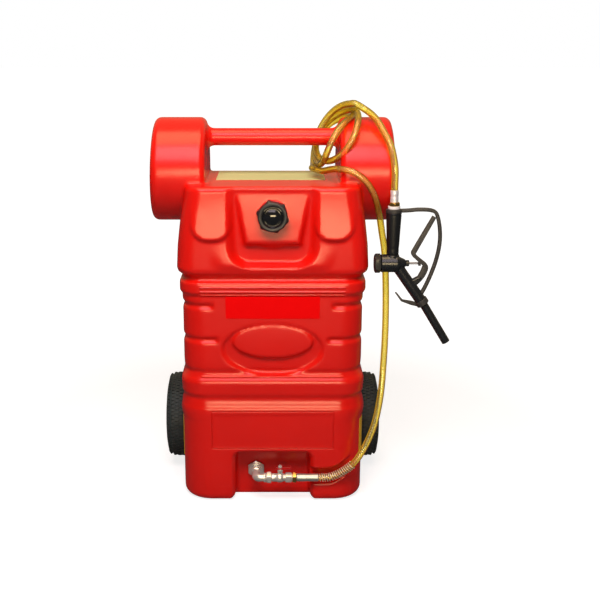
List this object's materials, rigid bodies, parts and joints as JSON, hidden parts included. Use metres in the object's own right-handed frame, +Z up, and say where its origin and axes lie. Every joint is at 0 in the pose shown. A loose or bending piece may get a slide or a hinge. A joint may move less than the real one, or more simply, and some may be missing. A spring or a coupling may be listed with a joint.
{
  "type": "wheeled fuel caddy",
  "caption": "Moulded fuel tank on pneumatic wheels, with a handle bar between two drums, a screw cap, an outlet ball valve and a looped delivery hose with a trigger nozzle.",
  "frame": {"origin": "centre of the tank's rectangular footprint, on the floor", "axes": "+Z up; the filler, labels and outlet face -Y; +X is the side where the hose and the nozzle hang"},
  "size_m": [0.7522, 0.4171, 1.0408],
  "materials": {
    "tank_red": "satin rotomoulded polyethylene with a fine orange-peel skin",
    "label_red": "glossy printed film",
    "label_yellow": "satin film",
    "black_plastic": "satin moulded",
    "gloss_black": "glossy moulded",
    "rubber": "matte",
    "tyre": "matte tread rubber",
    "rim_paint": "grey enamel",
    "zinc_steel": "zinc plated",
    "fitting_steel": "nickel plated",
    "brass": "machined",
    "lever_red": "red enamel",
    "hose_yellow": "clear tinted flexible tubing",
    "white_nylon": "smooth"
  },
  "bodies": {
    "caddy": {"tank_shell": "tank_red", "front_label": "label_red", "top_label": "label_yellow", "left_side_label": "label_yellow", "right_side_label": "label_yellow", "axle": "zinc_steel", "left_axle_clamp": "zinc_steel", "right_axle_clamp": "zinc_steel", "left_clamp_screw": "zinc_steel", "right_clamp_screw": "zinc_steel", "left_spacer": "zinc_steel", "right_spacer": "zinc_steel", "left_washer": "zinc_steel", "right_washer": "zinc_steel", "left_push_cap": "zinc_steel", "right_push_cap": "zinc_steel", "bulkhead_fitting": "fitting_steel", "bulkhead_gasket": "rubber", "bulkhead_nut": "brass", "outlet_elbow": "fitting_steel", "union_nut": "fitting_steel", "valve_body": "fitting_steel", "gland_nut": "fitting_steel", "hex_nipple": "fitting_steel", "swivel_nut": "brass", "lower_ferrule": "fitting_steel", "spring_guard": "fitting_steel", "hose_lower": "hose_yellow", "hose_coil": "hose_yellow", "hose_upper": "hose_yellow", "upper_ferrule": "fitting_steel", "inlet_nut": "brass", "inlet_seal_ring": "white_nylon"},
    "left_wheel": {"left_tyre": "tyre", "left_rim": "rim_paint", "left_inner_bearing": "zinc_steel", "left_outer_bearing": "zinc_steel"},
    "right_wheel": {"right_tyre": "tyre", "right_rim": "rim_paint", "right_inner_bearing": "zinc_steel", "right_outer_bearing": "zinc_steel"},
    "cap_cover": {"cap_disc": "gloss_black", "cap_gasket": "rubber"},
    "cap_collar": {"cap_ring": "black_plastic"},
    "valve_handle": {"valve_lever": "lever_red", "valve_stem": "fitting_steel", "valve_ball": "fitting_steel", "lever_nut": "fitting_steel"},
    "nozzle": {"nozzle_body": "black_plastic", "grip_sleeve": "rubber", "trigger_guard": "black_plastic", "end_cap": "black_plastic", "rod_gland": "brass", "trigger_pin": "fitting_steel", "spout": "black_plastic", "nozzle_hook": "black_plastic", "poppet_spring": "fitting_steel"},
    "nozzle_trigger": {"trigger": "black_plastic"},
    "nozzle_poppet": {"poppet": "fitting_steel"}
  },
  "joints": [
    {"name": "left_wheel_spin", "type": "hinge", "parent": "caddy", "child": "left_wheel", "pos_m": [-0.2555, 0.121, 0.136], "axis": [1, 0, 0], "continuous": true},
    {"name": "right_wheel_spin", "type": "hinge", "parent": "caddy", "child": "right_wheel", "pos_m": [0.2555, 0.121, 0.136], "axis": [1, 0, 0], "continuous": true},
    {"name": "cap_turn", "type": "hinge", "parent": "cap_cover", "child": "cap_collar", "pos_m": [0, -0.166, 0.754], "axis": [0, -1, 0], "range_deg": [0, 900]},
    {"name": "cap_lift", "type": "slide", "parent": "caddy", "child": "cap_cover", "axis": [0, -1, 0], "range_m": [0, 0.0101]},
    {"name": "valve_turn", "type": "hinge", "parent": "caddy", "child": "valve_handle", "pos_m": [0.019, -0.16, 0.071], "axis": [0, 0, -1], "range_deg": [0, 90]},
    {"name": "nozzle_swivel", "type": "hinge", "parent": "caddy", "child": "nozzle", "pos_m": [0.296, -0.117, 0.765], "axis": [0, 0, -1], "range_deg": [0, 90]},
    {"name": "trigger_pull", "type": "hinge", "parent": "nozzle", "child": "nozzle_trigger", "pos_m": [0.363, -0.117, 0.589], "axis": [0, -1, 0], "range_deg": [0, 10], "stiffness_Nm_per_rad": 1, "springref_deg": -28.65},
    {"name": "poppet_slide", "type": "slide", "parent": "nozzle", "child": "nozzle_poppet", "axis": [-1, 0, 0], "range_m": [0, 0.0078], "deforming": ["poppet_spring"]}
  ],
  "couplings": [
    {"joint": "cap_lift", "follows": "cap_turn", "m_per_rad": 0.00063662},
    {"joint": "poppet_slide", "follows": "trigger_pull", "m_per_rad": 0.044}
  ]
}
